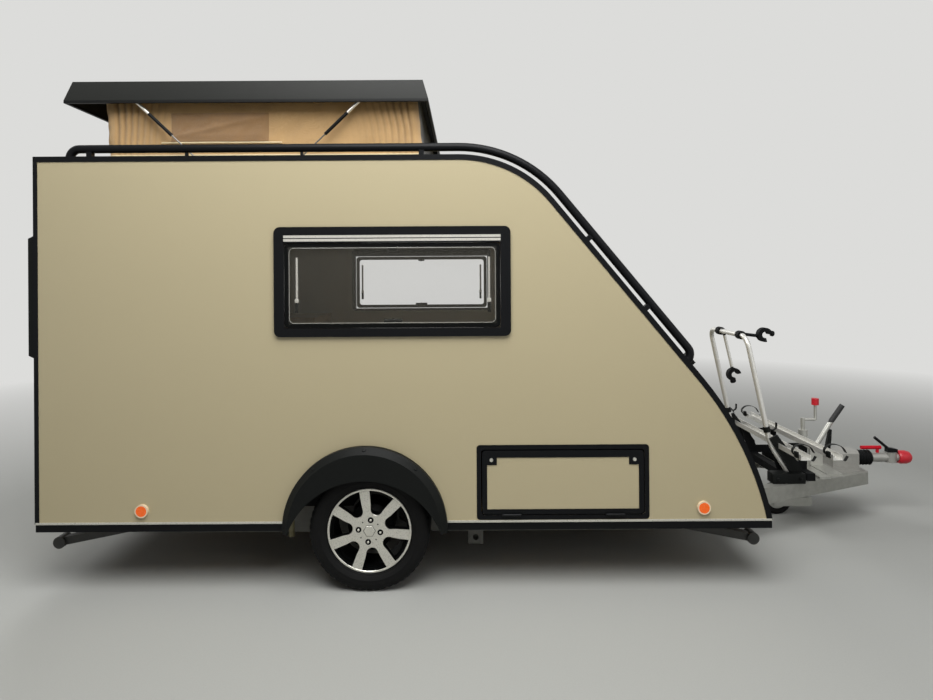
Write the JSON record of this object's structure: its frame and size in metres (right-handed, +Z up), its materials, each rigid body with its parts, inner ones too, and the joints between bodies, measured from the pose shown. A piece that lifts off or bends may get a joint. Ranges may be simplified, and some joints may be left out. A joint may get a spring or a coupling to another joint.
{
  "type": "caravan",
  "caption": "Small one-axle touring caravan with a sloping nose, a raised pop-top roof with tent walls, a rear door and a bicycle carrier on the drawbar.",
  "frame": {"origin": "on the ground, in the middle of the overall length and width", "axes": "+X forward to the coupling, +Y to the left side, +Z up"},
  "size_m": [5.052, 2.18, 2.581],
  "materials": {
    "floor_panel": "light board",
    "side_wall_right": "champagne gel coat on a sandwich panel",
    "side_wall_left": "champagne gel coat on a sandwich panel",
    "rear_wall": "champagne gel coat on a sandwich panel",
    "roof_panel": "champagne gel coat on a sandwich panel",
    "nose_panel": "champagne gel coat on a sandwich panel",
    "edge_trims": "black, fine grain",
    "skirts": "black, fine grain",
    "roof_rails": "black, fine grain",
    "wheel_arches": "black, fine grain",
    "wheel_boxes": "black, fine grain",
    "window_frames": "black, fine grain",
    "window_panes": "tinted acrylic",
    "locker_frame": "black, fine grain",
    "lamp_housings": "black, fine grain",
    "lamp_lenses": "red",
    "side_markers": "amber",
    "plate_holder": "black, fine grain",
    "hatch_frame": "galvanised",
    "tent": "tan canvas",
    "chassis_members": "galvanised",
    "cross_members": "galvanised",
    "drawbar_members": "galvanised",
    "axle_beam": "galvanised",
    "under_brackets": "galvanised",
    "overrun_housing": "galvanised",
    "gaiter": "black rubber",
    "coupling_head": "galvanised",
    "coupling_levers": "black, fine grain",
    "nose_pad": "red",
    "handbrake_lever": "black paint",
    "jockey_tube": "galvanised",
    "jockey_crank": "galvanised",
    "bed_base": "light board",
    "mattress": "tan canvas",
    "cabinets": "light board",
    "rack_base": "black, fine grain",
    "rack_rails": "drawn tube",
    "rack_hoop": "drawn tube",
    "rack_clamps": "black, fine grain",
    "tyre_right": "road tyre",
    "wheel_right": "machined face, black pockets",
    "tyre_left": "road tyre",
    "wheel_left": "machined face, black pockets",
    "rear_door": "champagne gel coat on a sandwich panel",
    "rear_door_pane": "tinted acrylic",
    "locker_door": "black, fine grain",
    "locker_panel": "champagne gel coat on a sandwich panel",
    "roof_lid": "dark grey shell",
    "strut_tubes_rear": "black paint",
    "strut_rods_rear": "bright rod",
    "strut_tubes_front": "black paint",
    "strut_rods_front": "bright rod",
    "jockey_fork": "galvanised",
    "jockey_wheel": "black rubber",
    "steady_front_right": "galvanised",
    "steady_front_left": "galvanised",
    "steady_rear_right": "galvanised",
    "steady_rear_left": "galvanised"
  },
  "bodies": {
    "caravan": {"floor_panel": "floor_panel", "side_wall_right": "side_wall_right", "side_wall_left": "side_wall_left", "rear_wall": "rear_wall", "roof_panel": "roof_panel", "nose_panel": "nose_panel", "edge_trims": "edge_trims", "skirts": "skirts", "roof_rails": "roof_rails", "wheel_arches": "wheel_arches", "wheel_boxes": "wheel_boxes", "window_frames": "window_frames", "window_panes": "window_panes", "locker_frame": "locker_frame", "lamp_housings": "lamp_housings", "lamp_lenses": "lamp_lenses", "side_markers": "side_markers", "plate_holder": "plate_holder", "hatch_frame": "hatch_frame", "tent": "tent", "chassis_members": "chassis_members", "cross_members": "cross_members", "drawbar_members": "drawbar_members", "axle_beam": "axle_beam", "under_brackets": "under_brackets", "overrun_housing": "overrun_housing", "gaiter": "gaiter", "coupling_head": "coupling_head", "coupling_levers": "coupling_levers", "nose_pad": "nose_pad", "handbrake_lever": "handbrake_lever", "jockey_tube": "jockey_tube", "jockey_crank": "jockey_crank", "bed_base": "bed_base", "mattress": "mattress", "cabinets": "cabinets", "rack_base": "rack_base", "rack_rails": "rack_rails", "rack_hoop": "rack_hoop", "rack_clamps": "rack_clamps"},
    "wheel_right": {"tyre_right": "tyre_right", "wheel_right": "wheel_right"},
    "wheel_left": {"tyre_left": "tyre_left", "wheel_left": "wheel_left"},
    "rear_door": {"rear_door": "rear_door", "rear_door_pane": "rear_door_pane"},
    "locker_door": {"locker_door": "locker_door", "locker_panel": "locker_panel"},
    "roof_lid": {"roof_lid": "roof_lid"},
    "strut_tubes_rear": {"strut_tubes_rear": "strut_tubes_rear"},
    "strut_rods_rear": {"strut_rods_rear": "strut_rods_rear"},
    "strut_tubes_front": {"strut_tubes_front": "strut_tubes_front"},
    "strut_rods_front": {"strut_rods_front": "strut_rods_front"},
    "jockey_fork": {"jockey_fork": "jockey_fork"},
    "jockey_wheel": {"jockey_wheel": "jockey_wheel"},
    "steady_front_right": {"steady_front_right": "steady_front_right"},
    "steady_front_left": {"steady_front_left": "steady_front_left"},
    "steady_rear_right": {"steady_rear_right": "steady_rear_right"},
    "steady_rear_left": {"steady_rear_left": "steady_rear_left"}
  },
  "joints": [
    {"name": "wheel_right_spin", "type": "hinge", "parent": "caravan", "child": "wheel_right", "pos_m": [-0.831, -0.935, 0.297], "axis": [0, 1, 0], "continuous": true},
    {"name": "wheel_left_spin", "type": "hinge", "parent": "caravan", "child": "wheel_left", "pos_m": [-0.831, 0.935, 0.297], "axis": [0, 1, 0], "continuous": true},
    {"name": "rear_door_swing", "type": "hinge", "parent": "caravan", "child": "rear_door", "pos_m": [-2.476, 0.3125, 1.2], "axis": [0, 0, -1], "range_deg": [0, 110]},
    {"name": "locker_door_swing", "type": "hinge", "parent": "caravan", "child": "locker_door", "pos_m": [0.1205, -1.042, 0.3785], "axis": [1, 0, 0], "range_deg": [0, 160]},
    {"name": "roof_lift", "type": "slide", "parent": "caravan", "child": "roof_lid", "axis": [0, 0, 1], "range_m": [-0.296, 0], "deforming": ["tent"]},
    {"name": "strut_rear_tilt", "type": "hinge", "parent": "roof_lid", "child": "strut_tubes_rear", "pos_m": [-2.089, 0, 2.485], "axis": [0, -1, 0], "range_deg": [0, 41.3]},
    {"name": "strut_rear_stroke", "type": "slide", "parent": "strut_tubes_rear", "child": "strut_rods_rear", "axis": [0.7236, 0, -0.6902], "range_m": [-0.1245, 0]},
    {"name": "strut_front_tilt", "type": "hinge", "parent": "roof_lid", "child": "strut_tubes_front", "pos_m": [-0.891, 0, 2.485], "axis": [0, 1, 0], "range_deg": [0, 41.3]},
    {"name": "strut_front_stroke", "type": "slide", "parent": "strut_tubes_front", "child": "strut_rods_front", "axis": [-0.7236, 0, -0.6902], "range_m": [-0.1245, 0]},
    {"name": "jockey_swivel", "type": "hinge", "parent": "caravan", "child": "jockey_fork", "pos_m": [1.831, 0, 0.3], "axis": [0, 0, 1], "continuous": true},
    {"name": "jockey_spin", "type": "hinge", "parent": "jockey_fork", "child": "jockey_wheel", "pos_m": [1.651, 0, 0.098], "axis": [0, 1, 0], "continuous": true},
    {"name": "steady_front_right_swing", "type": "hinge", "parent": "caravan", "child": "steady_front_right", "pos_m": [0.674, -0.88, 0.29], "axis": [0, 1, 0], "range_deg": [0, 24]},
    {"name": "steady_front_left_swing", "type": "hinge", "parent": "caravan", "child": "steady_front_left", "pos_m": [0.674, 0.88, 0.29], "axis": [0, 1, 0], "range_deg": [0, 24]},
    {"name": "steady_rear_right_swing", "type": "hinge", "parent": "caravan", "child": "steady_rear_right", "pos_m": [-1.994, -0.88, 0.29], "axis": [0, -1, 0], "range_deg": [0, 24]},
    {"name": "steady_rear_left_swing", "type": "hinge", "parent": "caravan", "child": "steady_rear_left", "pos_m": [-1.994, 0.88, 0.29], "axis": [0, -1, 0], "range_deg": [0, 24]}
  ],
  "couplings": [
    {"joint": "strut_rear_tilt", "follows": "roof_lift", "rad_per_m": -2.4281},
    {"joint": "strut_front_tilt", "follows": "roof_lift", "rad_per_m": -2.4281},
    {"joint": "strut_rear_stroke", "follows": "roof_lift", "ratio": 0.41837},
    {"joint": "strut_front_stroke", "follows": "roof_lift", "ratio": 0.41837}
  ]
}
